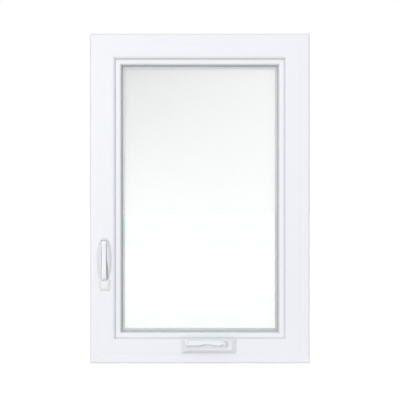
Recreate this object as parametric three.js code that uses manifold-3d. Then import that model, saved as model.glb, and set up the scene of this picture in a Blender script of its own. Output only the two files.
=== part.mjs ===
// Outward-opening casement window, hinged on the right as seen from indoors.
// Millimetres. +X right seen from indoors, +Y outdoors, +Z up.
// The origin is the centre of the sill's underside.
import * as THREE from "three";
import { ConvexGeometry } from "three/addons/geometries/ConvexGeometry.js";
import * as BufferGeometryUtils from "three/addons/utils/BufferGeometryUtils.js";
import Module from "manifold-3d";

const wasm = await Module();
wasm.setup();

// Overall sizes.
const WIDTH = 609.6;
const HEIGHT = 914.4;
const DEPTH = 83;

// Profile sight lines, measured inwards from the outer edge of the frame.
const LEG = 20;
const SASH_EDGE = 34;
const FRAME_FACE = 68;
const SASH_FACE = 87;
const GLASS_FACE = 95;

// Depth positions, measured outwards from the indoor face of the frame.
const STOP_BACK = 32;
const SASH_IN = 38;
const SASH_OUT = 80;
const SASH_LEG_IN = 9.5;
const GLASS_IN = 28;
const PANE = 3;
const GLASS_OUT = 48;

// Concealed hinge: fixed pivot, link pivot and shoe pivot lie on one line.
const HINGE_LINE = 62;
const SHOE_X = 262;
const LINK = 75;
const LINK_X = SHOE_X - LINK;
const FIXED_X = LINK_X - LINK;

// Split-arm operator, seen from above.
const GEAR = { x: 41, y: 50, r: 21.2 };
const MAIN_ARM = { length: 216, angle: 181.5728 };
const SECOND_ARM = { length: 121.5849, angle: 4.6002 };
const BRACKET = { x: -54.35, y: 54 };
const SPINDLE = { x: 67, y: 50, z: 27.2, tilt: 22 };

// Lock, seen from indoors.
const LOCK = { x: -264.7, top: 351, bottom: 229, foot: 201, pivot: 334, axis: -12 };

// Finishes: colour, roughness and metalness.
const FINISHES = {
  vinyl: [0xf2f1f6, 0.38, 0],
  rubber: [0x3a3f40, 0.8, 0],
  spacer: [0xa9afaf, 0.55, 0],
  glass: [0xe8f0ee, 0.05, 0],
  steel: [0xb9bbbd, 0.32, 1],
  enamel: [0xf1f0f3, 0.35, 0],
  nylon: [0xd8d8d4, 0.55, 0],
};

const rad = THREE.MathUtils.degToRad;
const group = new THREE.Group();

// ---- solids -------------------------------------------------------------

function toManifold(geometry) {
  const clean = geometry.clone();
  clean.deleteAttribute("normal");
  clean.deleteAttribute("uv");
  const merged = BufferGeometryUtils.mergeVertices(clean, 1e-5);
  const index = merged.index.array;
  const triangles = [];
  for (let i = 0; i < index.length; i += 3) {
    const [a, b, c] = index.slice(i, i + 3);
    if (a !== b && b !== c && c !== a) triangles.push(a, b, c);
  }
  return new wasm.Manifold(new wasm.Mesh({
    numProp: 3,
    vertProperties: new Float32Array(merged.attributes.position.array),
    triVerts: new Uint32Array(triangles),
  }));
}

function add(name, finish, body, atHead = false) {
  const mesh = body.getMesh();
  const positions = new Float32Array(mesh.vertProperties);
  const triangles = new Uint32Array(mesh.triVerts);
  if (atHead) {
    for (let i = 2; i < positions.length; i += 3) positions[i] = HEIGHT - positions[i];
    triangles.reverse();
  }
  const geometry = new THREE.BufferGeometry();
  geometry.setAttribute("position", new THREE.BufferAttribute(positions, 3));
  geometry.setIndex(new THREE.BufferAttribute(triangles, 1));
  const [color, roughness, metalness] = FINISHES[finish];
  const part = new THREE.Mesh(geometry, new THREE.MeshStandardMaterial({ color, roughness, metalness }));
  part.name = name;
  part.position.y = -DEPTH / 2;
  group.add(part);
}

function shapeOf(points, holes = []) {
  const shape = new THREE.Shape(points.map(([a, b]) => new THREE.Vector2(a, b)));
  holes.forEach((hole) => shape.holes.push(new THREE.Path(hole.map(([a, b]) => new THREE.Vector2(a, b)))));
  return shape;
}

// Extrudes a plan outline (x, y) upwards from z0 to z1.
function plate(points, z0, z1, holes = []) {
  const geometry = new THREE.ExtrudeGeometry(shapeOf(points, holes), { depth: z1 - z0, bevelEnabled: false });
  geometry.translate(0, 0, z0);
  return toManifold(geometry);
}

function box(x0, x1, y0, y1, z0, z1) {
  const geometry = new THREE.BoxGeometry(x1 - x0, y1 - y0, z1 - z0);
  geometry.translate((x0 + x1) / 2, (y0 + y1) / 2, (z0 + z1) / 2);
  return toManifold(geometry);
}

// Upright cylinder at (x, y) from z0 to z1.
function post(x, y, r, z0, z1, segments = 24) {
  const geometry = new THREE.CylinderGeometry(r, r, z1 - z0, segments);
  geometry.rotateX(Math.PI / 2);
  geometry.translate(x, y, (z0 + z1) / 2);
  return toManifold(geometry);
}

// Cylinder along X at (y, z) from x0 to x1.
function bar(y, z, r, x0, x1, segments = 24) {
  const geometry = new THREE.CylinderGeometry(r, r, x1 - x0, segments);
  geometry.rotateZ(Math.PI / 2);
  geometry.translate((x0 + x1) / 2, y, z);
  return toManifold(geometry);
}

function convex(points) {
  return toManifold(new ConvexGeometry(points.map(([x, y, z]) => new THREE.Vector3(x, y, z))));
}

function arc(cx, cy, r, from, to, steps) {
  const points = [];
  for (let i = 0; i <= steps; i += 1) {
    const angle = rad(from + ((to - from) * i) / steps);
    points.push([cx + r * Math.cos(angle), cy + r * Math.sin(angle)]);
  }
  return points;
}

// Plan outline of a bar with round ends between two points.
function stadium(ax, ay, bx, by, r) {
  const angle = THREE.MathUtils.radToDeg(Math.atan2(by - ay, bx - ax));
  return [...arc(bx, by, r, angle - 90, angle + 90, 10), ...arc(ax, ay, r, angle + 90, angle + 270, 10)];
}

const SIDES = ["bottom", "top", "lock", "hinge"];

// A mitred length of profile on one side of the window. The profile is given
// as (inset from the outer edge, depth), and runs between its own mitres.
function mitred(side, points, holes = []) {
  const flat = new THREE.ExtrudeGeometry(shapeOf(points, holes), { depth: 1, bevelEnabled: false });
  const position = flat.attributes.position;
  const along = side === "bottom" || side === "top" ? WIDTH : HEIGHT;
  for (let i = 0; i < position.count; i += 1) {
    const inset = position.getX(i);
    const depth = position.getY(i);
    const run = position.getZ(i) > 0.5 ? along - inset : inset;
    if (side === "bottom") position.setXYZ(i, run - WIDTH / 2, depth, inset);
    if (side === "top") position.setXYZ(i, WIDTH / 2 - run, depth, HEIGHT - inset);
    if (side === "lock") position.setXYZ(i, inset - WIDTH / 2, depth, HEIGHT - run);
    if (side === "hinge") position.setXYZ(i, WIDTH / 2 - inset, depth, run);
  }
  // The mapping above mirrors the section, so the faces are turned back.
  const plain = flat.index ? flat.toNonIndexed() : flat;
  const array = plain.attributes.position.array;
  for (let i = 0; i < array.length; i += 9) {
    for (let k = 0; k < 3; k += 1) {
      [array[i + 3 + k], array[i + 6 + k]] = [array[i + 6 + k], array[i + 3 + k]];
    }
  }
  return toManifold(plain);
}

function rectangle(a0, a1, b0, b1) {
  return [[a0, b0], [a1, b0], [a1, b1], [a0, b1]];
}

// ---- outer frame ----------------------------------------------------------

// The stop has a small lip that hides the gap around the sash.
const WALL = 3;
const STEP = 28;
const LIP_EDGE = FRAME_FACE + 2;
const STOP_SIDE = FRAME_FACE - 2.5;
const frameOutline = [
  [0, 3], [1.5, 1.2], [STEP - 0.6, 1.2], [STEP + 0.6, 0], [FRAME_FACE - 1.5, 0], [LIP_EDGE, 3.5],
  [LIP_EDGE, SASH_LEG_IN - 1], [STOP_SIDE, SASH_LEG_IN - 1], [STOP_SIDE, STOP_BACK],
  [LEG, STOP_BACK], [LEG, DEPTH], [0, DEPTH],
];
const frameChambers = [
  rectangle(WALL, STEP - 1.5, 4.5, STOP_BACK - WALL),
  rectangle(STEP + 1.5, STOP_SIDE - WALL, 4.8, STOP_BACK - WALL - 0.4),
  rectangle(WALL + 0.2, LEG - WALL, STOP_BACK, DEPTH - WALL),
];
const frameNames = { bottom: "frame_sill", top: "frame_head", lock: "frame_jamb_lock", hinge: "frame_jamb_hinge" };
SIDES.forEach((side) => {
  let body = mitred(side, frameOutline, frameChambers);
  if (side === "bottom") {
    // A slot lets the spindle through, and a pocket clears the gear sector.
    body = body
      .subtract(box(SPINDLE.x - 7, SPINDLE.x + 7, -1, STOP_BACK + 1, 30, 62))
      .subtract(box(GEAR.x - 20, GEAR.x + 20, STOP_BACK - 4.5, STOP_BACK + 1, LEG + 2, LEG + 11));
  }
  add(frameNames[side], "vinyl", body);
});

// Bulb seals on the back of the frame's stop, drawn relaxed with clearance.
const sealOutline = [
  [50, STOP_BACK], [62, STOP_BACK], [62, STOP_BACK + 1], [59, STOP_BACK + 1.6], [58, STOP_BACK + 3.6],
  [54, STOP_BACK + 3.6], [53, STOP_BACK + 1.6], [50, STOP_BACK + 1],
];
SIDES.forEach((side) => add(`frame_seal_${side}`, "rubber", mitred(side, sealOutline)));

// ---- sash -----------------------------------------------------------------

// The sash has a flange behind the frame's stop and a leg that comes indoors
// to carry the glazing bead, with the glazing rebate on its inner side.
const REBATE = FRAME_FACE + 3;
const sashOutline = [
  [SASH_EDGE, SASH_IN + 8], [SASH_EDGE + 8, SASH_IN], [FRAME_FACE, SASH_IN], [FRAME_FACE, SASH_LEG_IN + 1],
  [FRAME_FACE + 1, SASH_LEG_IN], [REBATE, SASH_LEG_IN], [REBATE, GLASS_OUT], [SASH_FACE - 2, GLASS_OUT],
  [SASH_FACE, GLASS_OUT + 2], [SASH_FACE - 1, GLASS_OUT + 5], [SASH_FACE - 9, SASH_OUT],
  [SASH_EDGE + 1, SASH_OUT], [SASH_EDGE, SASH_OUT - 1],
];
const sashChambers = [
  [[SASH_EDGE + WALL, SASH_IN + 10], [SASH_EDGE + 9, SASH_IN + WALL + 1], [50, SASH_IN + WALL + 1],
    [50, SASH_OUT - WALL], [SASH_EDGE + WALL, SASH_OUT - WALL]],
  [[52, SASH_IN + WALL + 0.4], [REBATE - WALL, SASH_IN + WALL + 0.4], [REBATE - WALL + 0.2, GLASS_OUT + WALL],
    [SASH_FACE - 5, GLASS_OUT + WALL + 0.3], [SASH_FACE - 12, SASH_OUT - WALL - 0.4], [52.3, SASH_OUT - WALL - 0.4]],
];
const beadOutline = [
  [REBATE, SASH_LEG_IN + 0.5], [REBATE + 0.6, SASH_LEG_IN], [SASH_FACE - 7, SASH_LEG_IN],
  [SASH_FACE, SASH_LEG_IN + 7], [SASH_FACE, GLASS_IN], [REBATE, GLASS_IN],
];
const sashNames = { bottom: "sash_rail_bottom", top: "sash_rail_top", lock: "sash_stile_lock", hinge: "sash_stile_hinge" };
SIDES.forEach((side) => {
  add(sashNames[side], "vinyl", mitred(side, sashOutline, sashChambers));
  add(`glazing_bead_${side}`, "vinyl", mitred(side, beadOutline));
});

// Sealed glazing unit: two panes and four mitred spacer bars.
const UNIT_EDGE = 75;
function pane(y0, y1) {
  return box(UNIT_EDGE - WIDTH / 2, WIDTH / 2 - UNIT_EDGE, y0, y1, UNIT_EDGE, HEIGHT - UNIT_EDGE);
}
add("glass_pane_inner", "glass", pane(GLASS_IN, GLASS_IN + PANE));
add("glass_pane_outer", "glass", pane(GLASS_OUT - PANE, GLASS_OUT));
const spacerOutline = rectangle(UNIT_EDGE, GLASS_FACE, GLASS_IN + PANE, GLASS_OUT - PANE);
SIDES.forEach((side) => add(`glass_spacer_${side}`, "spacer", mitred(side, spacerOutline)));

// Setting blocks under the glazing unit.
[["lock", -150], ["hinge", 150]].forEach(([side, x]) => {
  add(`setting_block_${side}`, "rubber", box(x - 50, x + 50, GLASS_IN + 1, GLASS_OUT - 1, REBATE, UNIT_EDGE));
});

// ---- concealed hinges -----------------------------------------------------

const STUD = 2.9;
const HOLE = 3;
const ARM_WIDTH = 9;
function hinge(name, atHead) {
  const track = box(100, 284, HINGE_LINE - 11, HINGE_LINE + 11, LEG, LEG + 2.5)
    .add(box(100, 284, HINGE_LINE - 11, HINGE_LINE - 9, LEG + 2.5, LEG + 5))
    .add(box(100, 284, HINGE_LINE + 9, HINGE_LINE + 11, LEG + 2.5, LEG + 5))
    .subtract(post(FIXED_X, HINGE_LINE, HOLE, LEG - 1, LEG + 3));
  const link = plate(stadium(FIXED_X, HINGE_LINE, LINK_X, HINGE_LINE, ARM_WIDTH), LEG + 6, LEG + 9)
    .add(post(FIXED_X, HINGE_LINE, 5, LEG + 2.7, LEG + 6))
    .add(post(FIXED_X, HINGE_LINE, STUD, LEG + 0.5, LEG + 3))
    .add(post(LINK_X, HINGE_LINE, 5, LEG + 9, LEG + 10.8))
    .add(post(LINK_X, HINGE_LINE, STUD, LEG + 10, LEG + 13.6));
  const arm = plate(stadium(LINK_X, HINGE_LINE, SHOE_X, HINGE_LINE, ARM_WIDTH), LEG + 11, SASH_EDGE)
    .subtract(post(LINK_X, HINGE_LINE, HOLE, LEG + 10, SASH_EDGE + 1))
    .subtract(post(SHOE_X, HINGE_LINE, HOLE, LEG + 10, SASH_EDGE + 1));
  const shoe = box(SHOE_X - 12, SHOE_X + 12, HINGE_LINE - 8.6, HINGE_LINE + 8.6, LEG + 2.7, LEG + 10.8)
    .add(post(SHOE_X, HINGE_LINE, STUD, LEG + 10, LEG + 13.6));
  add(`hinge_track_${name}`, "steel", track, atHead);
  add(`hinge_link_${name}`, "steel", link, atHead);
  add(`sash_arm_${name}`, "steel", arm, atHead);
  add(`hinge_shoe_${name}`, "nylon", shoe, atHead);
}
hinge("bottom", false);
hinge("top", true);

// ---- operator -------------------------------------------------------------

// Elbow of the two arms.
const ELBOW = {
  x: GEAR.x + MAIN_ARM.length * Math.cos(rad(MAIN_ARM.angle)),
  y: GEAR.y + MAIN_ARM.length * Math.sin(rad(MAIN_ARM.angle)),
};
const TIP = {
  x: ELBOW.x + SECOND_ARM.length * Math.cos(rad(SECOND_ARM.angle)),
  y: ELBOW.y + SECOND_ARM.length * Math.sin(rad(SECOND_ARM.angle)),
};

add("operator_base", "steel", box(10, 57, 34, 80, LEG, LEG + 2.4).add(post(GEAR.x, GEAR.y, 4, LEG + 2, LEG + 10.6)));

// Gear sector: one tooth every nine degrees on the side of the worm.
const TEETH = 40;
function gearOutline() {
  const points = [];
  const root = GEAR.r - 2.2;
  for (let i = -10; i < 3; i += 1) {
    const angle = (i * 360) / TEETH;
    points.push(...arc(GEAR.x, GEAR.y, root, angle + 90 - 2.6, angle + 90 - 2.4, 1));
    points.push(...arc(GEAR.x, GEAR.y, GEAR.r, angle + 90 - 1.1, angle + 90 + 1.1, 1));
    points.push(...arc(GEAR.x, GEAR.y, root, angle + 90 + 2.4, angle + 90 + 2.6, 1));
  }
  points.push(...arc(GEAR.x, GEAR.y, 12, 130, 340, 14));
  return points;
}
const gearDisc = plate(gearOutline(), LEG + 3, LEG + 9.8);
const mainArm = plate(stadium(GEAR.x, GEAR.y, ELBOW.x, ELBOW.y, 6.5), LEG + 3, LEG + 7);
add("operator_arm", "steel", mainArm
  .add(gearDisc)
  .add(post(ELBOW.x, ELBOW.y, 4.5, LEG + 6, LEG + 7.4))
  .add(post(ELBOW.x, ELBOW.y, STUD, LEG + 7, LEG + 10.6))
  .subtract(post(GEAR.x, GEAR.y, 4.1, LEG + 2, LEG + 12)));

const EYE = 4.8;
add("operator_link", "steel", plate(stadium(ELBOW.x, ELBOW.y, TIP.x, TIP.y, 7.5), LEG + 7.6, LEG + 10.6)
  .add(post(TIP.x, TIP.y, 9, LEG + 7.6, LEG + 10.6))
  .subtract(post(ELBOW.x, ELBOW.y, HOLE, LEG + 7, LEG + 12))
  .subtract(post(TIP.x, TIP.y, EYE, LEG + 7, LEG + 12)));
add("operator_bracket", "steel", box(BRACKET.x - 26, BRACKET.x + 26, BRACKET.y - 8, BRACKET.y + 8, LEG + 11.2, SASH_EDGE)
  .add(post(BRACKET.x, BRACKET.y, 3, LEG + 7.8, LEG + 12)));

// Frame of reference along the tilted spindle: local Z runs along the
// spindle towards the room, local X stays X, and local Y points up.
const spindleTilt = new THREE.Matrix4().makeBasis(
  new THREE.Vector3(1, 0, 0),
  new THREE.Vector3(0, Math.sin(rad(SPINDLE.tilt)), Math.cos(rad(SPINDLE.tilt))),
  new THREE.Vector3(0, -Math.cos(rad(SPINDLE.tilt)), Math.sin(rad(SPINDLE.tilt))),
).setPosition(SPINDLE.x, SPINDLE.y, SPINDLE.z);

function onSpindle(geometry) {
  geometry.applyMatrix4(spindleTilt);
  return toManifold(geometry);
}

function turned(profile, segments = 24) {
  const lathe = new THREE.LatheGeometry(profile.map(([r, t]) => new THREE.Vector2(r, t)), segments);
  lathe.rotateX(Math.PI / 2);
  return onSpindle(lathe);
}

function shaft(r, t0, t1, segments = 24) {
  return turned([[0, t0], [r, t0], [r, t1], [0, t1]], segments);
}


// Outline (x, distance along the spindle), extruded from w0 up to w1.
function spindlePlate(points, w0, w1) {
  const geometry = new THREE.ExtrudeGeometry(shapeOf(points), { depth: w1 - w0, bevelEnabled: false });
  geometry.rotateX(Math.PI / 2);
  geometry.translate(0, w1, 0);
  return onSpindle(geometry);
}

const HUB_FROM = 71.4;
const FOLD_AT = 87.5;
const wormRings = [[0, -9], [3, -9], [3, -7]];
for (let t = -6.4; t < 4.6; t += 2.2) {
  wormRings.push([3.2, t - 0.6], [4.4, t], [3.2, t + 0.6]);
}
wormRings.push([3, 5.6], [3, HUB_FROM + 6], [0, HUB_FROM + 6]);
add("operator_worm_spindle", "steel", turned(wormRings));

add("operator_housing", "enamel", box(57.4, 78, 36, 66, LEG, SASH_EDGE - 0.6)
  .subtract(post(GEAR.x, GEAR.y, GEAR.r + 0.8, LEG + 2.6, LEG + 10.6, 48))
  .subtract(shaft(5.1, -8, 7))
  .subtract(shaft(3.4, -12, 30))
  .subtract(convex([[56, 35, 36], [79, 35, 36], [56, 35, 30], [79, 35, 30], [56, 47, SASH_EDGE],
    [79, 47, SASH_EDGE], [56, 35, SASH_EDGE + 4], [79, 35, SASH_EDGE + 4]])));

// Cover over the spindle: a wedge with sloping ends, hollow behind.
const COVER = { left: -52, right: 100, low: 30, high: 71, inset: 13, shallow: 8, deep: 24.2 };
function coverWedge(shrink) {
  const c = COVER;
  const back = shrink > 0 ? 3 : 0;
  return convex([
    [c.left + shrink, back, c.low + shrink], [c.right - shrink, back, c.low + shrink],
    [c.left + shrink, back, c.high - shrink], [c.right - shrink, back, c.high - shrink],
    [c.left + shrink, -3, c.low + shrink], [c.right - shrink, -3, c.low + shrink],
    [c.left + shrink, -3, c.high - shrink], [c.right - shrink, -3, c.high - shrink],
    [c.left + c.inset, shrink - c.deep, c.low + shrink], [c.right - c.inset, shrink - c.deep, c.low + shrink],
    [c.left + c.inset, shrink - c.shallow, c.high - shrink],
    [c.right - c.inset, shrink - c.shallow, c.high - shrink],
  ]);
}
add("operator_cover", "enamel", coverWedge(0).subtract(coverWedge(2.4)).subtract(shaft(5.6, 40, 75)));

// Crank hub with a fork, the fold pin across it, and a set screw.
const FORK = { inner: 4.2, outer: 7.4, r: 6 };
const HUB_TO = HUB_FROM + 9.6;
function forkEar(w0, w1) {
  return spindlePlate([[-FORK.r, HUB_TO - 1], [FORK.r, HUB_TO - 1], ...arc(0, FOLD_AT, FORK.r, 0, 180, 12)], w0, w1)
    .subtract(foldPin(2.05, w0 - 1, w1 + 1));
}
function foldPin(r, w0, w1) {
  const geometry = new THREE.CylinderGeometry(r, r, w1 - w0, 24);
  geometry.translate(0, (w0 + w1) / 2, FOLD_AT);
  return onSpindle(geometry);
}
const setScrewHole = onSpindle(new THREE.CylinderGeometry(2, 2, 10, 24).translate(0, 8.2, HUB_FROM + 5));
add("crank_hub", "enamel", turned([[0, HUB_FROM], [8.4, HUB_FROM], [9.2, HUB_FROM + 1],
  [9.2, HUB_TO - 1], [8.4, HUB_TO], [0, HUB_TO]])
  .add(forkEar(FORK.inner, FORK.outer))
  .add(forkEar(-FORK.outer, -FORK.inner))
  .subtract(shaft(3, HUB_FROM - 1, HUB_FROM + 6))
  .subtract(setScrewHole));
add("crank_set_screw", "steel",
  onSpindle(new THREE.CylinderGeometry(1.9, 1.9, 5, 24).translate(0, 6.3, HUB_FROM + 5)));
add("crank_fold_pin", "steel", foldPin(1.95, -FORK.outer, FORK.outer));

// Folding crank arm, drawn folded over the cover towards the lock side.
const KNOB_X = -100;
const armPlan = [
  [-FORK.r - 1.4, FOLD_AT - 3], [-FORK.r - 1.4, FOLD_AT + 3], [KNOB_X - 6, FOLD_AT + 3], [KNOB_X - 6, FOLD_AT - 3],
];
const armFace = spindlePlate(armPlan, -7.4, 7.4);
add("crank_handle", "enamel", armFace
  .add(spindlePlate([[-9, FOLD_AT - 3], [0, FOLD_AT - 4.6], ...arc(0, FOLD_AT, 4.6, -90, 90, 10),
    [0, FOLD_AT + 4.6], [-9, FOLD_AT + 3]], -3.9, 3.9))
  .subtract(foldPin(2.05, -9, 9))
  .subtract(shaftAt(KNOB_X, 2, FOLD_AT - 8, FOLD_AT + 8)));
function shaftAt(x, r, t0, t1) {
  const geometry = new THREE.CylinderGeometry(r, r, t1 - t0, 24);
  geometry.rotateX(Math.PI / 2);
  geometry.translate(x, 0, (t0 + t1) / 2);
  return onSpindle(geometry);
}
add("crank_knob_rivet", "steel", shaftAt(KNOB_X, 1.95, FOLD_AT - 13.2, FOLD_AT + 3)
  .add(shaftAt(KNOB_X, 3, FOLD_AT - 14.4, FOLD_AT - 13.15)));
add("crank_knob", "enamel", shaftAt(KNOB_X, 5.5, FOLD_AT - 8, FOLD_AT - 3.3)
  .add(shaftAt(KNOB_X, 7.4, FOLD_AT - 13, FOLD_AT - 6.1))
  .subtract(shaftAt(KNOB_X, 2.05, FOLD_AT - 15, FOLD_AT)));

// ---- lock -------------------------------------------------------------------

// Outline seen from indoors (x, z), extruded from depth y0 to depth y1.
function facePlate(points, y0, y1) {
  const geometry = new THREE.ExtrudeGeometry(shapeOf(points), { depth: y1 - y0, bevelEnabled: false });
  geometry.rotateX(Math.PI / 2);
  geometry.translate(0, y1, 0);
  return toManifold(geometry);
}

// Side outline (y, z), extruded from x0 to x1.
function sidePlate(points, x0, x1) {
  const geometry = new THREE.ExtrudeGeometry(shapeOf(points), { depth: x1 - x0, bevelEnabled: false });
  geometry.applyMatrix4(new THREE.Matrix4().makeBasis(
    new THREE.Vector3(0, 1, 0),
    new THREE.Vector3(0, 0, 1),
    new THREE.Vector3(1, 0, 0),
  ));
  geometry.translate(x0, 0, 0);
  return toManifold(geometry);
}

const LEVER_HALF = 7.5;
const EAR = { from: 8, to: 11 };
const oval = arc(0, 0, 1, 0, 354, 59).map(([a, b]) => [
  LOCK.x + 20.7 * Math.sign(a) * Math.abs(a) ** 0.9,
  (LOCK.top + LOCK.bottom) / 2 + 61 * b,
]);
const foot = [[LOCK.x - 13.5, 240], [LOCK.x - 9, LOCK.foot + 2], [LOCK.x - 6.5, LOCK.foot],
  [LOCK.x + 10.5, LOCK.foot], [LOCK.x + 13.5, LOCK.foot + 2], [LOCK.x + 18.5, 240]];
const earOutline = [[-2, LOCK.pivot - 7], [LOCK.axis, LOCK.pivot - 5],
  ...arc(LOCK.axis, LOCK.pivot, 5, 270, 90, 12), [-2, LOCK.pivot + 7]].reverse();
const leverPin = (r, half) => bar(LOCK.axis, LOCK.pivot, r, LOCK.x - half, LOCK.x + half);
add("lock_escutcheon", "enamel", facePlate(oval, -4, 0)
  .add(facePlate(foot, -6, 0))
  .add(sidePlate(earOutline, LOCK.x - EAR.to, LOCK.x - EAR.from))
  .add(sidePlate(earOutline, LOCK.x + EAR.from, LOCK.x + EAR.to))
  .subtract(leverPin(2.05, 20)));
add("lock_lever_pin", "steel", leverPin(1.95, EAR.to));
const leverOutline = [[-15.5, LOCK.pivot], [-20.5, 238], [-18.5, 232.5], [-14, 232], [-11.5, 236], [-8.5, LOCK.pivot]];
add("lock_lever", "enamel", sidePlate(leverOutline, LOCK.x - LEVER_HALF, LOCK.x + LEVER_HALF)
  .add(leverHub())
  .subtract(leverPin(2.05, 20)));
function leverHub() {
  return bar(LOCK.axis, LOCK.pivot, 6.5, LOCK.x - LEVER_HALF, LOCK.x + LEVER_HALF);
}

// Drive case behind the jamb, tie bar in its guides, rollers and keepers.
const JAMB = LEG - WIDTH / 2;
add("lock_case", "steel", box(JAMB + 0.2, JAMB + 12, STOP_BACK, 48, 300, 372));
const TIE = { y0: 52, y1: 66, from: 140, to: 774 };
add("tie_bar", "steel", box(JAMB + 0.3, JAMB + 2.8, TIE.y0, TIE.y1, TIE.from, TIE.to));
[["lower", 200, 260], ["upper", 714, 654]].forEach(([name, guideZ, rollerZ]) => {
  add(`tie_bar_guide_${name}`, "nylon", box(JAMB, JAMB + 5.4, TIE.y0 - 3, TIE.y1 + 3, guideZ - 14, guideZ + 14)
    .subtract(box(JAMB - 1, JAMB + 3.2, TIE.y0 - 0.4, TIE.y1 + 0.4, guideZ - 20, guideZ + 20)));
  add(`lock_roller_${name}`, "steel", bar(59, rollerZ, 4.5, JAMB + 2.8, JAMB + 10.4));
  const sashEdge = SASH_EDGE - WIDTH / 2;
  add(`lock_keeper_${name}`, "steel", box(sashEdge - 1.2, sashEdge, 48, 74, rollerZ - 28, rollerZ + 28)
    .add(box(sashEdge - 2.3, sashEdge - 0.5, 48, 53, rollerZ - 24, rollerZ + 24)));
});

export default group;
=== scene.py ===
import math

import bmesh
import bpy
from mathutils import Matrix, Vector


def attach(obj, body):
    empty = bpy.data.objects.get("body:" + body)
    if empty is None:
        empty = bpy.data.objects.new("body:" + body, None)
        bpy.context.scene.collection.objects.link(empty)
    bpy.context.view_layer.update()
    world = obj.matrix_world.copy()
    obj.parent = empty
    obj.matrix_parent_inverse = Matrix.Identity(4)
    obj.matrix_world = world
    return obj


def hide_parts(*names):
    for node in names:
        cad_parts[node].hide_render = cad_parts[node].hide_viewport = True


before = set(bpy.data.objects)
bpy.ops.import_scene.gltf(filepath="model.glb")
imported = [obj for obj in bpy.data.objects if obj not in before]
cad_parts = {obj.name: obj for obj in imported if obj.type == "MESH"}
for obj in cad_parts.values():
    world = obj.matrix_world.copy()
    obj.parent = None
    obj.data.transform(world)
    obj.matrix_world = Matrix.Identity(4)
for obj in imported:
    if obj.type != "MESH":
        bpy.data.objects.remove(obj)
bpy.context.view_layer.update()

MM = 0.001

# Overall sizes in millimetres. Depths run outdoors from the indoor face.
WIDTH, HEIGHT, DEPTH = 609.6, 914.4, 83.0
# Insets from the window's outer edge, the same on all four sides.
LEG = 20.0
STEP = 28.0
SASH_EDGE = 34.0
STOP_SIDE = 65.5
FRAME_FACE = 68.0
LIP_EDGE = 70.0
REBATE = 71.0
UNIT_EDGE = 75.0
SASH_FACE = 87.0
# Depths of the sash, its glass and the frame's stop.
SASH_LEG_IN = 9.5
GLASS_IN, GLASS_OUT, PANE = 28.0, 48.0, 3.0
STOP_BACK = 32.0
SASH_IN, SASH_OUT = 38.0, 80.0
# Weep hoods, sunk in the outdoor face of the sill.
WEEP_AT = (-190.0, 190.0)
WEEP_BACK = DEPTH - 2.7
WEEP_HEIGHT = 10.0
# Hinges and operator, seen from above.
HINGE_LINE, HINGE_FIXED = 62.0, 112.0
GEAR_X, GEAR_Y = 41.0, 50.0
ARM_LENGTH, ARM_ANGLE = 216, math.radians(181.5728)
# Crank: the spindle's foot and tilt, the hub and the fold pin along it, and the knob across it.
SPINDLE = Vector((67.0, 50.0, 27.2))
SPINDLE_TILT = math.radians(22)
HUB_FROM, FOLD_AT = 71.4, 87.5
KNOB_X = -100.0
# Lock on the left jamb: its middle line, and the height and depth of the lever's pin.
LOCK_X, LOCK_PIVOT, LOCK_AXIS = -264.7, 334.0, -12.0


# ---- points ----------------------------------------------------------------

def place(x, y, z):
    """A point given in the window's own millimetres, in the row frame."""
    return Vector((x, y - DEPTH / 2, z)) * MM


def on_spindle(x, w, t):
    """A point given across, above and along the tilted crank spindle."""
    sine, cosine = math.sin(SPINDLE_TILT), math.cos(SPINDLE_TILT)
    up = Vector((0, sine, cosine))
    out = Vector((0, -cosine, sine))
    p = SPINDLE + Vector((x, 0, 0)) + up * w + out * t
    return place(*p)


def arc(cx, cy, r, start, end, steps):
    """Points along an arc, with its angles in degrees."""
    angles = [math.radians(start + (end - start) * i / steps) for i in range(steps + 1)]
    return [(cx + r * math.cos(a), cy + r * math.sin(a)) for a in angles]


FILLET_SHARE = 0.49


def fillet(corners, steps=5):
    """Rounds a closed outline of (a, b, radius). No corner takes more than its share of an edge."""
    out = []
    count = len(corners)
    for i, (a, b, radius) in enumerate(corners):
        here = Vector((a, b))
        before = Vector(corners[i - 1][:2]) - here
        after = Vector(corners[(i + 1) % count][:2]) - here
        if radius <= 0:
            out.append((a, b))
            continue
        half = before.angle(after) / 2
        reach = min(radius / math.tan(half), before.length * FILLET_SHARE, after.length * FILLET_SHARE)
        start = here + before.normalized() * reach
        end = here + after.normalized() * reach
        for k in range(steps + 1):
            s = k / steps
            p = start * (1 - s) ** 2 + here * (2 * s * (1 - s)) + end * s ** 2
            out.append((p.x, p.y))
    return out


def shrink(outline, by):
    """Moves every point of a closed outline inwards."""
    area = sum(a[0] * b[1] - b[0] * a[1] for a, b in zip(outline, outline[1:] + outline[:1]))
    turn = 1 if area > 0 else -1
    out = []
    count = len(outline)
    for i in range(count):
        a, b = Vector(outline[i - 1]), Vector(outline[(i + 1) % count])
        along = (b - a).normalized()
        inward = Vector((-along.y, along.x)) * turn
        p = Vector(outline[i]) + inward * by
        out.append((p.x, p.y))
    return out


# ---- meshes ----------------------------------------------------------------

def finish_piece(obj, material, body, replaced=(), angle=35):
    """Shades a piece, with edges over the angle sharp, and hangs it on its body."""
    obj.data.materials.clear()
    obj.data.materials.append(material)
    obj.data.shade_smooth()
    obj.data.set_sharp_from_angle(angle=math.radians(angle))
    weighted = obj.modifiers.new("weighted", "WEIGHTED_NORMAL")
    weighted.keep_sharp = True
    weighted.weight = 100
    apply_modifiers(obj)
    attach(obj, body)
    if replaced:
        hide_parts(*replaced)


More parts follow.
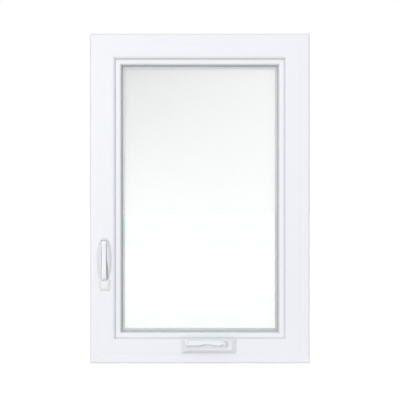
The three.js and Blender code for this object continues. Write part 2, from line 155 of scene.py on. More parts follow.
def mesh_piece(name, points, faces):
    """An object of welded points, with its faces turned outwards."""
    mesh = bpy.data.meshes.new(name)
    mesh.from_pydata([tuple(p) for p in points], [], faces)
    bm = bmesh.new()
    bm.from_mesh(mesh)
    bmesh.ops.remove_doubles(bm, verts=bm.verts, dist=1e-7)
    bmesh.ops.recalc_face_normals(bm, faces=bm.faces)
    bm.to_mesh(mesh)
    bm.free()
    obj = bpy.data.objects.new(name, mesh)
    bpy.context.scene.collection.objects.link(obj)
    return obj


def loft(name, rings):
    """Skins closed rings of equal length, and closes both ends."""
    count = len(rings[0])
    points = [p for ring in rings for p in ring]
    faces = []
    for r in range(len(rings) - 1):
        for i in range(count):
            j = (i + 1) % count
            faces.append((r * count + i, r * count + j, (r + 1) * count + j, (r + 1) * count + i))
    faces.append(tuple(range(count)))
    faces.append(tuple(range((len(rings) - 1) * count, len(rings) * count)))
    return mesh_piece(name, points, faces)


SMALLEST_RADIUS = 0.01


def turned(name, profile, to_world, segments=48):
    """Turns a profile of (radius, distance) about an axis."""
    last = 360 - 360 / segments
    rings = []
    for radius, t in profile:
        r = max(radius, SMALLEST_RADIUS)
        rings.append([to_world(x, w, t) for x, w in arc(0, 0, r, 0, last, segments - 1)])
    return loft(name, rings)


def apply_modifiers(obj):
    """Turns the object's modifiers into mesh."""
    depsgraph = bpy.context.evaluated_depsgraph_get()
    mesh = bpy.data.meshes.new_from_object(obj.evaluated_get(depsgraph))
    obj.modifiers.clear()
    obj.data = mesh
    return obj


def cut(obj, *cutters):
    """Takes the cutters' space out of the object, and deletes them."""
    for cutter in cutters:
        modifier = obj.modifiers.new("cut", "BOOLEAN")
        modifier.object = cutter
        modifier.operation = "DIFFERENCE"
        modifier.solver = "EXACT"
    apply_modifiers(obj)
    for cutter in cutters:
        bpy.data.objects.remove(cutter)
    return obj


def rounded(obj, width, segments=3, angle=40):
    """Rounds the edges that turn by more than the angle."""
    modifier = obj.modifiers.new("bevel", "BEVEL")
    modifier.width = width * MM
    modifier.segments = segments
    modifier.limit_method = "ANGLE"
    modifier.angle_limit = math.radians(angle)
    return apply_modifiers(obj)


def prism(name, outline, to_world, low, high):
    """An outline carried straight from low to high."""
    return loft(name, [[to_world(a, b, level) for a, b in outline] for level in (low, high)])


def box(name, x0, x1, y0, y1, z0, z1, bevel=0.0):
    """A block given by its limits in millimetres."""
    outline = [(x0, y0), (x1, y0), (x1, y1), (x0, y1)]
    obj = prism(name, outline, place, z0, z1)
    return rounded(obj, bevel) if bevel else obj


SIDES = ("bottom", "top", "lock", "hinge")
LEVEL_SIDES = ("bottom", "top")


def side_point(side, inset, depth, run):
    """A point of one side, by its inset from the outer edge, its depth and its distance along."""
    if side == "bottom":
        return place(run - WIDTH / 2, depth, inset)
    if side == "top":
        return place(run - WIDTH / 2, depth, HEIGHT - inset)
    if side == "lock":
        return place(inset - WIDTH / 2, depth, run)
    return place(WIDTH / 2 - inset, depth, run)


SEAM_DEPTH, SEAM_WIDTH = 0.25, 0.4


def mitred(name, side, outline):
    """A mitred length of profile, with a fine welded seam at each mitre."""
    along = WIDTH if side in LEVEL_SIDES else HEIGHT
    small = shrink(outline, SEAM_DEPTH)
    rings = []
    for shape, back in ((small, 0.0), (outline, SEAM_WIDTH)):
        rings.append([side_point(side, u, d, u + back) for u, d in shape])
    for shape, back in ((outline, SEAM_WIDTH), (small, 0.0)):
        rings.append([side_point(side, u, d, along - u - back) for u, d in shape])
    return loft(name, rings)


# ---- materials ---------------------------------------------------------------

def new_material(name):
    """A node material, with its nodes, links and main shader."""
    material = bpy.data.materials.new(name)
    material.use_nodes = True
    nodes, links = material.node_tree.nodes, material.node_tree.links
    return material, nodes, links, nodes["Principled BSDF"]


def noise(nodes, links, scale, stretch=(1, 1, 1), detail=4.0, rough=0.5):
    """A noise texture fixed to the object, and drawn out where the stretch is small."""
    coords = nodes.new("ShaderNodeTexCoord")
    mapping = nodes.new("ShaderNodeMapping")
    mapping.inputs["Scale"].default_value = stretch
    links.new(coords.outputs["Object"], mapping.inputs["Vector"])
    node = nodes.new("ShaderNodeTexNoise")
    node.inputs["Scale"].default_value = scale
    node.inputs["Detail"].default_value = detail
    node.inputs["Roughness"].default_value = rough
    links.new(mapping.outputs["Vector"], node.inputs["Vector"])
    return node.outputs["Fac"]


def ramp(nodes, links, source, low, high):
    """Maps a 0..1 value to a number or a colour between low and high."""
    if isinstance(low, float):
        node = nodes.new("ShaderNodeMapRange")
        node.inputs["To Min"].default_value = low
        node.inputs["To Max"].default_value = high
        links.new(source, node.inputs["Value"])
        return node.outputs["Result"]
    node = nodes.new("ShaderNodeMix")
    node.data_type = "RGBA"
    node.inputs["A"].default_value = (*low, 1)
    node.inputs["B"].default_value = (*high, 1)
    links.new(source, node.inputs["Factor"])
    return node.outputs["Result"]


def bump(nodes, links, shader, height, strength, distance):
    """Relief on the shader's normal, with its depth in metres."""
    node = nodes.new("ShaderNodeBump")
    node.inputs["Strength"].default_value = strength
    node.inputs["Distance"].default_value = distance
    links.new(height, node.inputs["Height"])
    links.new(node.outputs["Normal"], shader.inputs["Normal"])


PLASTIC_IOR = 1.48
PLASTIC_RELIEF, METAL_RELIEF = 0.0002, 0.0001


def plastic(name, low, high, roughness, grain, strength, coat=0.0, stretch=(1, 1, 1)):
    """Moulded plastic or enamel: a slow colour drift, and a fine grain in its gloss and relief."""
    material, nodes, links, shader = new_material(name)
    drift = noise(nodes, links, 6.0, detail=3.0)
    links.new(ramp(nodes, links, drift, low, high), shader.inputs["Base Color"])
    fine = noise(nodes, links, grain, stretch)
    links.new(ramp(nodes, links, fine, *roughness), shader.inputs["Roughness"])
    bump(nodes, links, shader, fine, strength, PLASTIC_RELIEF)
    shader.inputs["Coat Weight"].default_value = coat
    shader.inputs["Coat Roughness"].default_value = 0.15
    shader.inputs["IOR"].default_value = PLASTIC_IOR
    return material


def metal(name, low, high, roughness, stretch):
    """Brushed metal, with its brush marks along the axis of small stretch."""
    material, nodes, links, shader = new_material(name)
    brushed = noise(nodes, links, 60.0, stretch, 6.0, 0.7)
    links.new(ramp(nodes, links, brushed, low, high), shader.inputs["Base Color"])
    links.new(ramp(nodes, links, brushed, *roughness), shader.inputs["Roughness"])
    bump(nodes, links, shader, brushed, 0.12, METAL_RELIEF)
    shader.inputs["Metallic"].default_value = 1.0
    return material


VINYL_LOOK = {
    "low": (0.86, 0.855, 0.885), "high": (0.885, 0.88, 0.905), "roughness": (0.3, 0.42),
    "grain": 260.0, "strength": 0.1,
}
VINYL_X = plastic("vinyl_across", stretch=(0.06, 1, 1), **VINYL_LOOK)
VINYL_Z = plastic("vinyl_upright", stretch=(1, 1, 0.06), **VINYL_LOOK)
ENAMEL = plastic("white_enamel", (0.85, 0.85, 0.872), (0.875, 0.875, 0.895), (0.24, 0.34), 420.0, 0.12, 0.35)
NYLON = plastic("white_nylon", (0.7, 0.7, 0.68), (0.76, 0.76, 0.74), (0.45, 0.6), 500.0, 0.2)
RUBBER = plastic("seal_rubber", (0.035, 0.038, 0.04), (0.055, 0.058, 0.06), (0.65, 0.85), 700.0, 0.3)
GASKET = plastic("glazing_gasket", (0.47, 0.51, 0.5), (0.53, 0.57, 0.56), (0.5, 0.7), 700.0, 0.2)
SPACER = plastic("spacer_alloy", (0.5, 0.54, 0.53), (0.56, 0.59, 0.58), (0.4, 0.5), 500.0, 0.1)
SPACER.node_tree.nodes["Principled BSDF"].inputs["Metallic"].default_value = 0.15
STEEL_LOOK = {"low": (0.56, 0.57, 0.58), "high": (0.68, 0.68, 0.69), "roughness": (0.24, 0.4)}
STEEL = metal("bright_steel", stretch=(0.08, 1, 1), **STEEL_LOOK)
STEEL_UP = metal("bright_steel_upright", stretch=(1, 1, 0.08), **STEEL_LOOK)


def glass(name):
    """Clear glass that lets the studio light through to what lies behind it."""
    material, nodes, links, shader = new_material(name)
    haze = noise(nodes, links, 3.0, detail=2.0)
    links.new(ramp(nodes, links, haze, (0.975, 0.975, 0.972), (0.988, 0.988, 0.985)),
              shader.inputs["Base Color"])
    shader.inputs["Roughness"].default_value = 0.0
    shader.inputs["IOR"].default_value = 1.5
    shader.inputs["Transmission Weight"].default_value = 0.85
    path = nodes.new("ShaderNodeLightPath")
    either = nodes.new("ShaderNodeMath")
    either.operation = "MAXIMUM"
    links.new(path.outputs["Is Shadow Ray"], either.inputs[0])
    links.new(path.outputs["Is Diffuse Ray"], either.inputs[1])
    clear = nodes.new("ShaderNodeBsdfTransparent")
    clear.inputs["Color"].default_value = (0.97, 0.98, 0.975, 1)
    mix = nodes.new("ShaderNodeMixShader")
    links.new(either.outputs["Value"], mix.inputs["Fac"])
    links.new(shader.outputs["BSDF"], mix.inputs[1])
    links.new(clear.outputs["BSDF"], mix.inputs[2])
    links.new(mix.outputs["Shader"], nodes["Material Output"].inputs["Surface"])
    return material


GLASS = glass("clear_glass")


# ---- frame -------------------------------------------------------------------

# Sections are given as (inset, depth, radius).
FRAME_OUTLINE = fillet([
    (0, 0.7, 8.0), (STEP - 0.8, 0.7, 0.6), (STEP + 0.4, 0, 0.8), (LIP_EDGE - 6.5, 0, 5.0),
    (LIP_EDGE - 1.8, 2.4, 3.0), (LIP_EDGE - 0.2, 7.4, 1.2), (LIP_EDGE - 0.6, SASH_LEG_IN - 1, 0.3),
    (STOP_SIDE, SASH_LEG_IN - 1, 0.4), (STOP_SIDE, STOP_BACK, 1.0), (LEG, STOP_BACK, 1.0),
    (LEG, DEPTH, 1.5), (0, DEPTH, 2.0),
])
SASH_OUTLINE = fillet([
    (SASH_EDGE, SASH_IN + 8, 2.0), (SASH_EDGE + 8, SASH_IN, 2.0), (FRAME_FACE, SASH_IN, 0.6),
    (FRAME_FACE, SASH_LEG_IN, 0.8), (REBATE - 0.1, SASH_LEG_IN, 0.6), (REBATE - 0.1, GLASS_OUT, 0.3),
    (SASH_FACE - 2, GLASS_OUT, 0.3), (SASH_FACE, GLASS_OUT + 2, 0.8), (SASH_FACE - 1, GLASS_OUT + 5, 1.5),
    (SASH_FACE - 9, SASH_OUT, 3.0), (SASH_EDGE + 2, SASH_OUT, 1.5), (SASH_EDGE, SASH_OUT - 2, 1.5),
])
BEAD_OUTLINE = fillet([
    (REBATE + 0.15, SASH_LEG_IN + 0.8, 0.4), (REBATE + 0.7, SASH_LEG_IN - 0.1, 0.4),
    (SASH_FACE - 3, SASH_LEG_IN - 0.1, 5.0), (SASH_FACE - 0.6, SASH_LEG_IN + 7, 2.0),
    (SASH_FACE - 0.6, GLASS_IN - 1.5, 0.3), (SASH_FACE - 4, GLASS_IN, 0), (REBATE + 0.15, GLASS_IN, 0),
])
GASKET_OUTLINE = fillet([
    (SASH_FACE - 3.5, GLASS_IN - 0.05, 0), (SASH_FACE - 0.7, GLASS_IN - 3.4, 0.4),
    (SASH_FACE + 1.2, GLASS_IN - 2.6, 0.8), (SASH_FACE + 2.4, GLASS_IN - 0.05, 0.3),
])
OUTER_GASKET_OUTLINE = fillet([
    (SASH_FACE - 2.6, GLASS_OUT + 0.05, 0), (SASH_FACE + 2.4, GLASS_OUT + 0.05, 0.3),
    (SASH_FACE + 1.4, GLASS_OUT + 2.8, 0.8), (SASH_FACE - 0.6, GLASS_OUT + 3.2, 0.3),
])
SEAL_OUTLINE = fillet([
    (50, STOP_BACK + 0.05, 0), (62, STOP_BACK + 0.05, 0), (61.5, STOP_BACK + 1.2, 0.4),
    (59, STOP_BACK + 1.4, 0.5), (58.6, STOP_BACK + 3.6, 2.0), (53.4, STOP_BACK + 3.6, 2.0),
    (53, STOP_BACK + 1.4, 0.5), (50.5, STOP_BACK + 1.2, 0.4),
])
FRAME_NODES = {
    "bottom": "frame_sill", "top": "frame_head",
    "lock": "frame_jamb_lock", "hinge": "frame_jamb_hinge",
}
SASH_NODES = {
    "bottom": "sash_rail_bottom", "top": "sash_rail_top",
    "lock": "sash_stile_lock", "hinge": "sash_stile_hinge",
}


def vinyl(side):
    """Vinyl with its grain along the profile."""
    return VINYL_X if side in LEVEL_SIDES else VINYL_Z


def cut_sill(profile):
    """The slot for the tilted spindle, the pocket for the gear, and the weep hoods' recesses."""
    recesses = [box("weep_recess", x - 18, x + 18, WEEP_BACK, DEPTH + 1, 4, 16) for x in WEEP_AT]
    cut(profile,
        box("slot", SPINDLE.x - 7, SPINDLE.x + 7, -2, STOP_BACK + 1, 30, 62),
        box("pocket", GEAR_X - 20, GEAR_X + 20, STOP_BACK - 4.5, STOP_BACK + 1, LEG + 2, LEG + 11),
        *recesses)


for side in SIDES:
    profile = mitred("frame_profile_" + side, side, FRAME_OUTLINE)
    if side == "bottom":
        cut_sill(profile)
    finish_piece(profile, vinyl(side), "frame", [FRAME_NODES[side]], 30)
    finish_piece(mitred("bulb_seal_" + side, side, SEAL_OUTLINE), RUBBER, "frame",
                 ["frame_seal_" + side])
    finish_piece(mitred("sash_profile_" + side, side, SASH_OUTLINE), vinyl(side), "sash",
                 [SASH_NODES[side]], 30)
    finish_piece(mitred("bead_" + side, side, BEAD_OUTLINE), vinyl(side), "sash",
                 ["glazing_bead_" + side], 30)
    finish_piece(mitred("gasket_indoor_" + side, side, GASKET_OUTLINE), GASKET, "sash")
    finish_piece(mitred("gasket_outdoor_" + side, side, OUTER_GASKET_OUTLINE), RUBBER, "sash")


# ---- glass -----------------------------------------------------------------------

# Each sheet stands a little clear of the spacer and the beads.
for name, near, far in (
    ("inner", GLASS_IN + 0.05, GLASS_IN + PANE - 0.1),
    ("outer", GLASS_OUT - PANE + 0.1, GLASS_OUT - 0.05),
):
    sheet = box("glass_sheet_" + name, UNIT_EDGE - WIDTH / 2, WIDTH / 2 - UNIT_EDGE, near, far,
                UNIT_EDGE, HEIGHT - UNIT_EDGE, 0.5)
    finish_piece(sheet, GLASS, "sash", ["glass_pane_" + name], 30)


# ---- carried-over nodes --------------------------------------------------------

CARRIED_LOOKS = (
    ("glass_spacer", SPACER), ("setting_block", RUBBER), ("hinge_shoe", NYLON), ("tie_bar_guide", NYLON),
    ("tie_bar", STEEL_UP), ("lock_case", STEEL_UP), ("lock_keeper", STEEL_UP), ("operator_housing", ENAMEL),
)
for name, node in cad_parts.items():
    chosen = next((look for start, look in CARRIED_LOOKS if name.startswith(start)), STEEL)
    node.data.materials.clear()
    node.data.materials.append(chosen)


# ---- lock ----------------------------------------------------------------------

def front_ring(outline, depth):
    """An outline of (across, up) at one depth."""
    return [place(a, depth, b) for a, b in outline]


def resample(outline, count):
    """Spaces points evenly along a closed outline, from its first point."""
    closed = [Vector(p) for p in outline] + [Vector(outline[0])]
    steps = [(b - a).length for a, b in zip(closed, closed[1:])]
    total = sum(steps)
    out, i, passed = [], 0, 0.0
    for k in range(count):
        at = total * k / count
        while passed + steps[i] < at:
            passed += steps[i]
            i += 1
        p = closed[i].lerp(closed[i + 1], (at - passed) / steps[i])
        out.append((p.x, p.y))
    return out


DISH_POINTS, DISH_MIDDLE = 120, 290.0
DISH_HALF_WIDTH, DISH_HALF_HEIGHT = 20.7, 61
# The dish swells by this much along the sides of the lever, between these heights.
FLANK_RISE, FLANK_LOW, FLANK_HIGH, FLANK_FADE = 4.0, 240, 312, 18
PIN_SPREAD = 4.5
dish_edge = resample([
    (LOCK_X + DISH_HALF_WIDTH * math.copysign(abs(c) ** 0.9, c), DISH_MIDDLE + DISH_HALF_HEIGHT * s)
    for c, s in arc(0, 0, 1, 0, 358, 179)
], DISH_POINTS)
# The pocket that the lever lies in opens out on the right, lower down, for a finger.
pocket_edge = fillet([
    (LOCK_X + 8.0, DISH_MIDDLE, 30), (LOCK_X + 7.8, 343.2, 4), (LOCK_X - 7.8, 343.2, 4),
    (LOCK_X - 7.9, 236, 6), (LOCK_X + 10.6, 236, 6), (LOCK_X + 11.4, 262, 14),
], 8)


def smooth(value):
    """Eases a share between 0 and 1."""
    v = min(max(value, 0.0), 1.0)
    return v * v * (3 - 2 * v)


def dish_ring(share, depth, ear=0.0):
    """A ring part of the way from the dish's edge to its pocket.

    It stands higher along the sides of the lever, and again at the lever's pin.
    """
    ring = []
    for (a, b), (c, d) in zip(dish_edge, resample(pocket_edge, DISH_POINTS)):
        x, z = a + (c - a) * share, b + (d - b) * share
        along = smooth((z - FLANK_LOW) / FLANK_FADE) * (1 - smooth((z - FLANK_HIGH) / FLANK_FADE))
        flank = FLANK_RISE * smooth(share * 1.3) * along
        ring.append(place(x, depth - flank - ear * math.exp(-((z - LOCK_PIVOT) / PIN_SPREAD) ** 2), z))
    return ring


def pocket_ring(inward, depth):
    """A ring inside the pocket."""
    return front_ring(resample(shrink(pocket_edge, inward), DISH_POINTS), depth)


# Share of the way in from the edge, depth, and height of the ears that hold the pin.
DISH_RINGS = (
    (0, 0.0, 0.0), (0, -0.8, 0.0), (0.03, -1.7, 0.0), (0.2, -3.9, 0.6), (0.4, -6.6, 3.6),
    (0.5, -7.7, 6.2), (0.7, -9.2, 5.2), (0.86, -9.7, 4.8), (0.96, -9.8, 4.6), (1, -9.3, 4.4),
)
POCKET_RINGS = ((0.2, -5.2), (0.8, -4.4), (3.0, -4.3))
dish_rings = [dish_ring(*row) for row in DISH_RINGS] + [pocket_ring(*row) for row in POCKET_RINGS]
escutcheon = loft("lock_dish", dish_rings)
finish_piece(escutcheon, ENAMEL, "frame", ["lock_escutcheon"], 50)
pin = turned("lock_pin", [(1.6, -9.8), (1.9, -9.5), (1.9, 9.5), (1.6, 9.8)],
             lambda a, b, t: place(LOCK_X + t, LOCK_AXIS + a, LOCK_PIVOT + b), 32)
finish_piece(pin, STEEL, "frame", ["lock_lever_pin"], 50)

FOOT_BASE = ((-13.5, 234), (-13.5, 205), (-9.5, 201), (13.0, 201), (16.0, 204), (18.5, 234))
FOOT_TOP = ((-8.5, 231), (-8.0, 212), (-5.5, 208.5), (7.0, 208.5), (8.5, 211.5), (11.0, 231))
foot = loft("lock_foot", [
    front_ring([(LOCK_X + a, b) for a, b in outline], depth)
    for outline, depth in ((FOOT_BASE, 0.0), (FOOT_BASE, -1.5), (FOOT_TOP, -7.4))
])
finish_piece(rounded(foot, 1.6, 4, 20), ENAMEL, "frame", angle=50)


def lever_ring(z, back, front, half):
    """A level section of the lever, rounder towards the room."""
    corners = [(-half, back, 1.5), (half, back, 1.5), (half, front, 3.2), (-half, front, 3.2)]
    return [place(LOCK_X + a, b, z) for a, b in fillet(corners, 5)]


# Height, depth of the back and the front, and half the width, from the pin down to the tip.
LEVER_RINGS = (
    (341.6, -10.0, -14.2, 5.2), (340.2, -7.6, -16.6, 6.8), (336.0, -6.2, -17.8, 7.3),
    (330.0, -6.0, -17.8, 7.3), (322.0, -7.6, -17.0, 7.3), (310.0, -8.6, -16.8, 7.0),
    (290.0, -9.2, -17.4, 6.8), (268.0, -10.0, -18.6, 6.9), (250.0, -10.8, -19.6, 7.1),
    (243.0, -11.2, -19.8, 7.2), (238.0, -11.6, -18.8, 7.1), (234.6, -11.8, -16.8, 6.8),
    (232.4, -12.2, -14.8, 6.2),
)
lever = loft("lock_lever_body", [lever_ring(*row) for row in LEVER_RINGS])
finish_piece(lever, ENAMEL, "lever", ["lock_lever"], 60)


# ---- crank ----------------------------------------------------------------------

def cover_ring(x0, x1, z0, z1, low_depth, high_depth, radius):
    """A rounded rectangle whose lower and upper edges have their own depths."""
    corners = [(x0, z0, radius), (x1, z0, radius), (x1, z1, radius), (x0, z1, radius)]
    return [
        place(a, low_depth + (high_depth - low_depth) * (b - z0) / (z1 - z0), b)
        for a, b in fillet(corners, 6)
    ]


def cover_shape(name, k, back):
    """The cover's outside, or with k above 0 the space inside it."""
    return loft(name, [
        cover_ring(-52 + k, 100 - k, 30 + k, 71 - k, back, back, 5),
        cover_ring(-52 + k, 100 - k, 30 + k, 71 - k, -2 + k * 0.3, -2 + k * 0.3, 5),
        cover_ring(-50.5 + k, 98.5 - k, 31.4 + k, 70.4 - k, -5 + k, -3.4 + k, 5),
        cover_ring(-42 + k, 90 - k, 36.6 + k, 68.6 - k, -20.0 + k, -7 + k, 5),
        cover_ring(-40 + k, 88 - k, 38.6 + k, 67.2 - k, -23.0 + k, -8.6 + k, 4.5),
        cover_ring(-38 + k, 86 - k, 41 + k, 65.6 - k, -23.8 + k, -10.2 + k, 4),
    ])


cover = cut(
    cover_shape("crank_cover", 0.0, 0.0),
    cover_shape("cover_inside", 2.4, 3.0),
    turned("cover_hole", [(0, 40), (5.6, 40), (5.6, 78), (0, 78)], on_spindle, 32),
)
finish_piece(cover, ENAMEL, "frame", ["operator_cover"], 40)

# Radius, and distance along from the hub's inner end.
HUB_PROFILE = (
    (3.1, 0), (8.4, 0), (9.0, 0.4), (9.2, 1.2), (9.2, 8.2), (8.9, 9.0), (8.2, 9.5), (3.1, 9.6),
)
hub_body = turned("crank_hub_body", [(r, HUB_FROM + t) for r, t in HUB_PROFILE], on_spindle)
finish_piece(hub_body, ENAMEL, "crank", ["crank_hub"], 40)


def spindle_prism(name, outline, low, high):
    """A prism whose outline is (across, along the spindle)."""
    return prism(name, outline, lambda x, t, w: on_spindle(x, w, t), low, high)


FORK = 6.0
fork_outline = [(-FORK, HUB_FROM + 8.6), (FORK, HUB_FROM + 8.6)] + arc(0, FOLD_AT, FORK, 0, 180, 16)
for name, low, high in (("upper", 4.2, 7.4), ("lower", -7.4, -4.2)):
    ear = rounded(spindle_prism("crank_fork_" + name, fork_outline, low, high), 0.6, 3, 60)
    finish_piece(ear, ENAMEL, "crank")


ARM_RADIUS = 2.4


def arm_ring(x, low, high, thick):
    """A rounded section across the crank arm."""
    r = min(ARM_RADIUS, thick * 0.8)
    corners = [(low, -thick, r), (high, -thick, r), (high, thick, r), (low, thick, r)]
    return [on_spindle(x, w, FOLD_AT + t) for w, t in fillet(corners, 4)]


# Place across from the fold pin, lower and upper edge, and half the thickness.
ARM_RINGS = (
    (-7.6, -6.6, 6.6, 2.2), (-8.4, -7.4, 7.4, 3.0), (-16, -7.4, 7.4, 3.0), (-24, -6.6, 7.3, 3.0),
    (-34, -4.6, 7.2, 3.0), (-46, -3.2, 7.1, 3.0), (-56, -3.6, 7.0, 3.0), (-63, -5.6, 7.0, 3.0),
    (-70, -7.2, 7.1, 3.0), (-80, -7.4, 7.3, 3.0), (-98, -7.2, 7.4, 3.0), (-104, -6.6, 6.6, 3.0),
    (-106, -4.6, 4.6, 2.4),
)
arm = loft("crank_arm", [arm_ring(*row) for row in ARM_RINGS])


def on_knob(x, w, t):
    """A point given about the knob's axis."""
    return on_spindle(x + KNOB_X, w, t)


PIN_HOLE = 2.05
cut(arm, turned("knob_hole", [(PIN_HOLE, 70), (PIN_HOLE, 100)], on_knob, 32))
finish_piece(arm, ENAMEL, "handle", ["crank_handle"], 50)

EYE = 4.6
eye_outline = [(-9, FOLD_AT - 2.6), (0, FOLD_AT - EYE)] + arc(0, FOLD_AT, EYE, -84, 84, 14) + [
    (0, FOLD_AT + EYE), (-9, FOLD_AT + 2.6),
]
eye = cut(
    spindle_prism("crank_arm_eye", eye_outline, -3.9, 3.9),
    spindle_prism("pin_hole", arc(0, FOLD_AT, PIN_HOLE, 0, 350, 35), -9, 9),
)
finish_piece(eye, ENAMEL, "handle", angle=50)

# Radius, and distance towards the sill from the arm's middle.
KNOB_PROFILE = (
    (PIN_HOLE, 3.3), (4.6, 3.3), (5.0, 3.8), (5.2, 5.0), (6.6, 6.6), (7.3, 8.6), (7.4, 10.4), (6.9, 12.0),
    (5.6, 12.9), (PIN_HOLE, 13.0),
)
knob = turned("crank_knob_body", [(r, FOLD_AT - t) for r, t in KNOB_PROFILE], on_knob)
finish_piece(knob, ENAMEL, "knob", ["crank_knob"], 40)


# ---- fasteners -------------------------------------------------------------------

def on_axis(origin, direction):
    """Maps (across, up, along) to points about an axis that starts at origin."""
    n = Vector(direction).normalized()
    u = n.orthogonal().normalized()
    v = n.cross(u)
    return lambda x, w, t: place(*(Vector(origin) + u * x + v * w + n * t))


# Shares of the head's radius and height. Each head starts slightly inside the surface.
HEAD_SINK = -0.05
RIVET_HEAD = ((1, 0.25), (0.93, 0.6), (0.72, 0.88), (0.4, 0.98), (0, 1))
SCREW_HEAD = ((1, 0.3), (0.9, 0.75), (0.6, 0.95), (0, 1))


def fastener_head(name, axis, radius, height, shares):
    """A turned head on an axis."""
    profile = [(radius, HEAD_SINK)] + [(radius * r, height * t) for r, t in shares]
    return turned(name, profile, axis, 32)


def rivet(name, origin, direction, radius, body, height=1.4):
    """A domed rivet head standing on a surface."""
    head = fastener_head(name, on_axis(origin, direction), radius, height, RIVET_HEAD)
    finish_piece(head, STEEL, body, angle=50)


def screw(name, origin, direction, radius, body, height=1.5):
    """A screw head with a cross recess."""
    axis = on_axis(origin, direction)
    head = fastener_head(name, axis, radius, height, SCREW_HEAD)
    reach, half = radius * 0.62, radius * 0.13
    for a, b in ((reach, half), (half, reach)):
        cut(head, prism("recess", [(-a, -b), (a, -b), (a, b), (-a, b)], axis, height * 0.25, height + 1))
    finish_piece(head, STEEL, body, angle=50)


for name, up in (("bottom", 1), ("top", -1)):
    track, link = (z if up > 0 else HEIGHT - z for z in (LEG + 2.5, LEG + 9))
    normal = (0, 0, up)
    screw("hinge_screw_near_" + name, (128, HINGE_LINE, track), normal, 3.2, "frame")
    screw("hinge_screw_far_" + name, (279, HINGE_LINE, track), normal, 3.2, "frame")
    rivet("hinge_rivet_" + name, (HINGE_FIXED, HINGE_LINE, link), normal, 4.6, "hinge_links")

UP, DOWN = (0, 0, 1), (0, 0, -1)
elbow = (GEAR_X + ARM_LENGTH * math.cos(ARM_ANGLE), GEAR_Y + ARM_LENGTH * math.sin(ARM_ANGLE), LEG + 10.6)
rivet("operator_elbow_rivet", elbow, UP, 4.6, "operator_main_arm")
rivet("operator_gear_washer", (GEAR_X, GEAR_Y, LEG + 10.2), UP, 6.8, "frame", 0.8)
rivet("operator_gear_rivet", (GEAR_X, GEAR_Y, LEG + 10.6), UP, 4.4, "frame")
for name, x, y in (("near", 16, 40), ("far", 16, 74), ("side", 51, 75)):
    screw("operator_screw_" + name, (x, y, LEG + 2.4), UP, 3.4, "frame", 0.45)
for name, x in (("left", -75), ("right", -34)):
    screw("bracket_screw_" + name, (x, 54, LEG + 11.2), DOWN, 3.2, "sash", 0.4)

TO_HINGES, TO_LOCK = (1, 0, 0), (-1, 0, 0)
case_face = LEG - WIDTH / 2 + 12
for name, y, z in (("low", 36, 306), ("high", 44, 366)):
    screw("lock_case_screw_" + name, (case_face, y, z), TO_HINGES, 3.0, "frame", 0.6)
keeper_face = SASH_EDGE - WIDTH / 2 - 1.2
for name, z in (("lower", 260), ("upper", 654)):
    for end, shift in (("below", -21), ("above", 21)):
        label = "keeper_screw_%s_%s" % (name, end)
        screw(label, (keeper_face, 67, z + shift), TO_LOCK, 3.4, "sash", 0.6)

# Weep slots with small hoods, set in the outdoor face of the sill.
HOOD_WIDE = fillet([(-17, -5, 3), (17, -5, 3), (17, 5, 3), (-17, 5, 3)])
HOOD_NARROW = fillet([(-14, -2, 2), (14, -2, 2), (14, 3.4, 2), (-14, 3.4, 2)])
for name, x in zip(("left", "right"), WEEP_AT):
    hood = loft("weep_hood_" + name, [
        front_ring([(x + a, WEEP_HEIGHT + b) for a, b in outline], WEEP_BACK + out)
        for outline, out in ((HOOD_WIDE, -0.1), (HOOD_WIDE, 1.0), (HOOD_NARROW, 2.6))
    ])
    cut(hood, box("weep", x - 11, x + 11, WEEP_BACK + 0.6, DEPTH + 1, 4, 8))
    finish_piece(hood, VINYL_X, "frame", angle=40)


# ---- stage -----------------------------------------------------------------------

FLOOR_RADIUS, FLOOR_POINTS, FLOOR_GLOW = 40.0, 96, 0.6


def floor():
    """A wide pale disc. It glows where the camera sees it, to meet the white studio behind."""
    last = 360 - 360 / FLOOR_POINTS
    ring = [(x, y, 0) for x, y in arc(0, 0, FLOOR_RADIUS, 0, last, FLOOR_POINTS - 1)]
    obj = mesh_piece("floor", ring, [tuple(range(FLOOR_POINTS))])
    material, nodes, links, shader = new_material("pale_floor")
    shader.inputs["Base Color"].default_value = (0.84, 0.84, 0.845, 1)
    shader.inputs["Roughness"].default_value = 0.9
    shader.inputs["Emission Color"].default_value = (1, 1, 1, 1)
    path = nodes.new("ShaderNodeLightPath")
    seen = nodes.new("ShaderNodeMath")
    links.new(path.outputs["Is Camera Ray"], seen.inputs[0])
    links.new(path.outputs["Is Transmission Ray"], seen.inputs[1])
    glow = nodes.new("ShaderNodeMath")
    glow.operation = "MULTIPLY"
    glow.inputs[1].default_value = FLOOR_GLOW
    links.new(seen.outputs["Value"], glow.inputs[0])
    links.new(glow.outputs["Value"], shader.inputs["Emission Strength"])
    obj.data.materials.append(material)


floor()


FILL_SIDE, FILL_FRONT = 0.5, 1.48
BACKDROP_LOW, BACKDROP_HIGH, BACKDROP_TOP = 0.99, 0.48, 0.16
BACKDROP_TILT = 8.0
# Cool light from the sides and white light from in front and behind, from the front (0) to the back (1).
WHITE, COOL = (1, 1, 1), (0.82, 0.92, 1)
TINTS = ((0.0, WHITE), (0.36, COOL), (0.5, COOL), (0.54, WHITE))


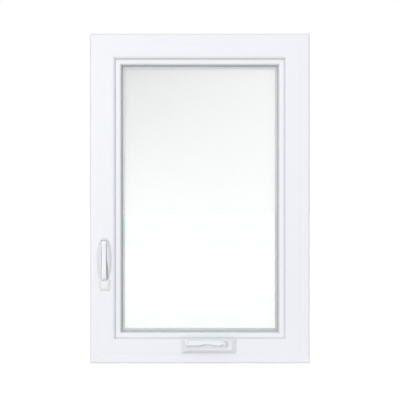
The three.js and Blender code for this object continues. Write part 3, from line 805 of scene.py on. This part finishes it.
def studio_world():
    """White to the camera, with most of the light from the room side, and a gentle fall behind the glass."""
    world = bpy.data.worlds.new("studio")
    world.use_nodes = True
    bpy.context.scene.world = world
    nodes, links = world.node_tree.nodes, world.node_tree.links

    def feed(socket, value):
        """Sets a socket to a number, or links another node's output to it."""
        if isinstance(value, float):
            socket.default_value = value
        else:
            links.new(value, socket)

    def combine(operation, first, second):
        node = nodes.new("ShaderNodeMath")
        node.operation = operation
        feed(node.inputs[0], first)
        feed(node.inputs[1], second)
        return node.outputs["Value"]

    def map_range(source, *limits):
        node = nodes.new("ShaderNodeMapRange")
        feed(node.inputs["Value"], source)
        for name, value in zip(("From Min", "From Max", "To Min", "To Max"), limits):
            feed(node.inputs[name], value)
        return node.outputs["Result"]

    coords = nodes.new("ShaderNodeTexCoord")
    split = nodes.new("ShaderNodeSeparateXYZ")
    links.new(coords.outputs["Generated"], split.inputs["Vector"])
    x, y, z = (split.outputs[axis] for axis in "XYZ")
    front = map_range(y, -0.2, -1.0, FILL_SIDE, FILL_FRONT)
    lean = combine("MULTIPLY", z, combine("SUBTRACT", 1.0, combine("MULTIPLY", x, BACKDROP_TILT)))
    backdrop = map_range(lean, 0.0, BACKDROP_TOP, BACKDROP_LOW - FILL_SIDE, BACKDROP_HIGH - FILL_SIDE)
    total = combine("ADD", front, map_range(y, 0.1, 1.0, 0.0, backdrop))
    tint = nodes.new("ShaderNodeValToRGB")
    elements = tint.color_ramp.elements
    while len(elements) < len(TINTS):
        elements.new(0.5)
    for element, (position, color) in zip(elements, TINTS):
        element.position = position
        element.color = (*color, 1)
    links.new(map_range(y, -1.0, 1.0, 0.0, 1.0), tint.inputs["Fac"])
    path = nodes.new("ShaderNodeLightPath")
    for name, kind, source, to_camera in (
        ("Strength", "FLOAT", total, 1.0),
        ("Color", "RGBA", tint.outputs["Color"], (*WHITE, 1)),
    ):
        choose = nodes.new("ShaderNodeMix")
        choose.data_type = kind
        links.new(path.outputs["Is Camera Ray"], choose.inputs["Factor"])
        first, second = (socket for socket in choose.inputs if socket.enabled and socket.name in ("A", "B"))
        links.new(source, first)
        second.default_value = to_camera
        result = next(socket for socket in choose.outputs if socket.enabled)
        links.new(result, nodes["Background"].inputs[name])


studio_world()

scene = bpy.context.scene
scene.view_settings.view_transform = "Standard"


def area_light(name, position, target, size, power, color):
    """A square lamp aimed at a point."""
    data = bpy.data.lights.new(name, "AREA")
    data.size = size
    data.energy = power
    data.color = color
    obj = bpy.data.objects.new(name, data)
    obj.location = position
    obj.rotation_euler = (Vector(target) - Vector(position)).to_track_quat("-Z", "Y").to_euler()
    scene.collection.objects.link(obj)


KEY_AT, KEY_TARGET = (-2.6, -7.2, 1.3), (0, 0, 0.45)
KEY_SIZE, KEY_POWER, KEY_COLOR = 0.8, 114, (1.0, 0.92, 0.87)
area_light("key", KEY_AT, KEY_TARGET, KEY_SIZE, KEY_POWER, KEY_COLOR)

# Straight on from indoors, with a view this wide in metres at the indoor face.
VIEW_WIDTH = 1.1072
VIEW_X, VIEW_Z = 0.0004, 0.4533
LENS, SENSOR = 120.0, 36.0
camera_data = bpy.data.cameras.new("camera")
camera_data.lens = LENS
camera_data.sensor_width = SENSOR
camera = bpy.data.objects.new("camera", camera_data)
camera.location = (VIEW_X, -DEPTH * MM / 2 - VIEW_WIDTH * LENS / SENSOR, VIEW_Z)
camera.rotation_euler = (math.radians(90), 0, 0)
scene.collection.objects.link(camera)
scene.camera = camera
